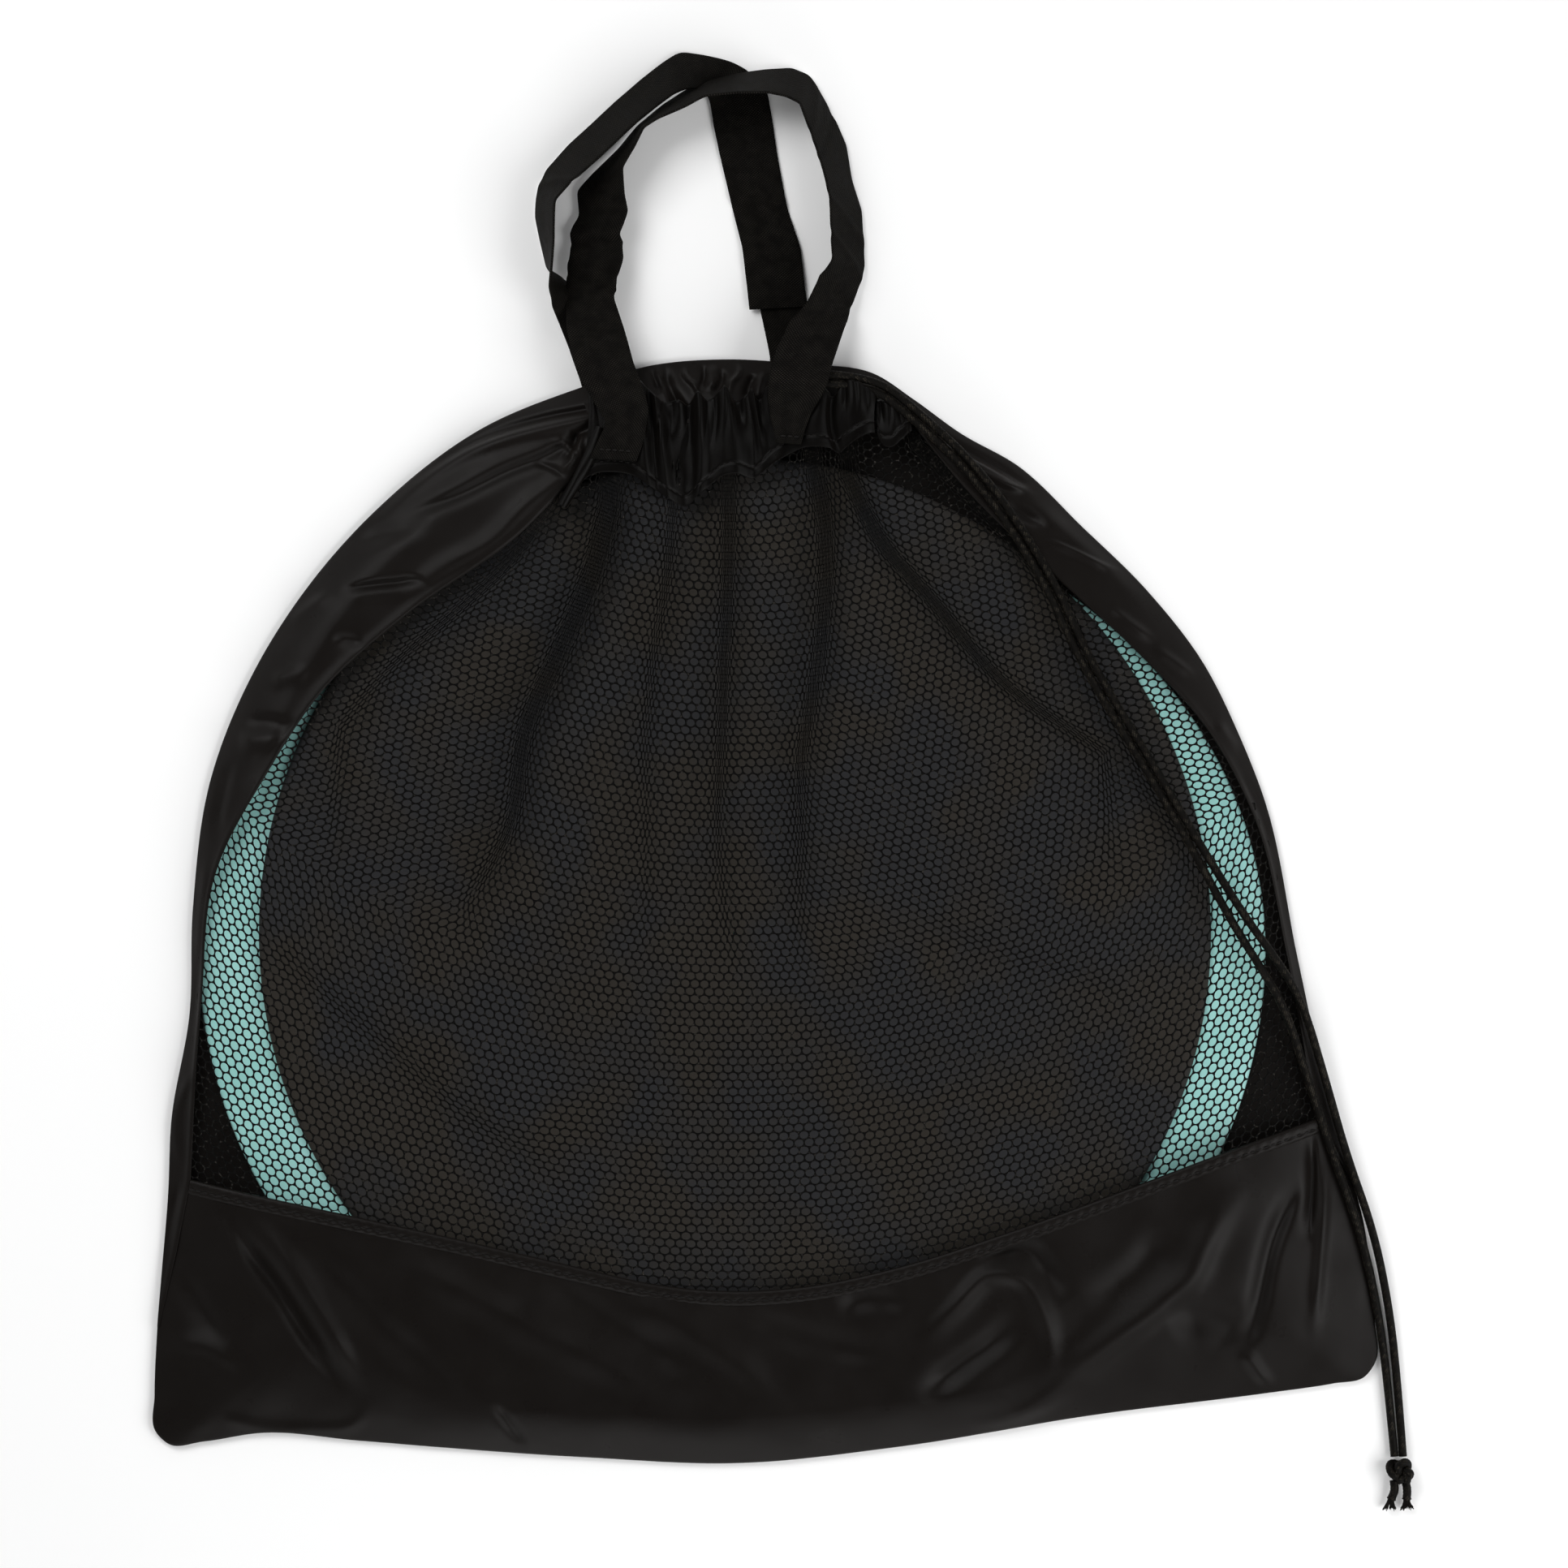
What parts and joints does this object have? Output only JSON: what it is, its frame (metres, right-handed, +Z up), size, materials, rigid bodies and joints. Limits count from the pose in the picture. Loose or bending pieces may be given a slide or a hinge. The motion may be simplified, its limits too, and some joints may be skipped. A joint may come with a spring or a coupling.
{
  "type": "mesh ball bag",
  "caption": "Drawstring ball bag with a net front, satin fabric sides, back and base, a gathered drawcord casing, webbing carry handles and a flat round load inside.",
  "frame": {"origin": "on the surface the bag lies on, under the middle of the bag and its handles taken together", "axes": "+X towards the bag's right side seen from the net front, +Y from the base to the handles, +Z up out of the net front; the bag lies on its back panel"},
  "size_m": [0.5637, 0.6553, 0.0285],
  "materials": {
    "satin_fabric": "black satin polyester with a soft sheen",
    "net_fabric": "black polyester netting with six-sided holes",
    "webbing": "black woven polypropylene webbing",
    "cord": "black braided polyester cord",
    "thread": "black polyester sewing thread",
    "teal_satin": "pale teal satin",
    "fine_weave": "black fine-weave fabric"
  },
  "bodies": {
    "bag": {"back_panel": "satin_fabric", "base_panel": "satin_fabric", "base_hem": "satin_fabric", "base_hem_thread": "thread", "side_panel_left": "satin_fabric", "side_panel_right": "satin_fabric", "mesh_panel": "net_fabric", "casing_front": "satin_fabric", "casing_back": "satin_fabric", "casing_thread": "thread", "front_handle_tab_left": "webbing", "front_handle_tab_right": "webbing", "back_handle_tab_left": "webbing", "back_handle_tab_right": "webbing", "front_tab_left_stitches": "thread", "front_tab_right_stitches": "thread", "contents_teal_disc": "teal_satin", "contents_black_disc": "fine_weave"},
    "front_handle": {"front_handle": "webbing"},
    "back_handle": {"back_handle": "webbing"},
    "drawcord": {"drawcord_strand_a": "cord", "drawcord_strand_b": "cord", "drawcord_knot": "cord", "drawcord_tail_a": "cord", "drawcord_tail_b": "cord"}
  },
  "joints": [
    {"name": "front_handle_swing", "type": "hinge", "parent": "bag", "child": "front_handle", "pos_m": [-0.0285, 0.1746, 0.0222], "axis": [1, 0, 0], "range_deg": [0, 170]},
    {"name": "back_handle_swing", "type": "hinge", "parent": "bag", "child": "back_handle", "pos_m": [-0.0285, 0.1785, 0], "axis": [1, 0, 0], "range_deg": [-170, 0]},
    {"name": "drawcord_pull", "type": "slide", "parent": "bag", "child": "drawcord", "axis": [1, 0, 0], "range_m": [0, 0.02]}
  ]
}
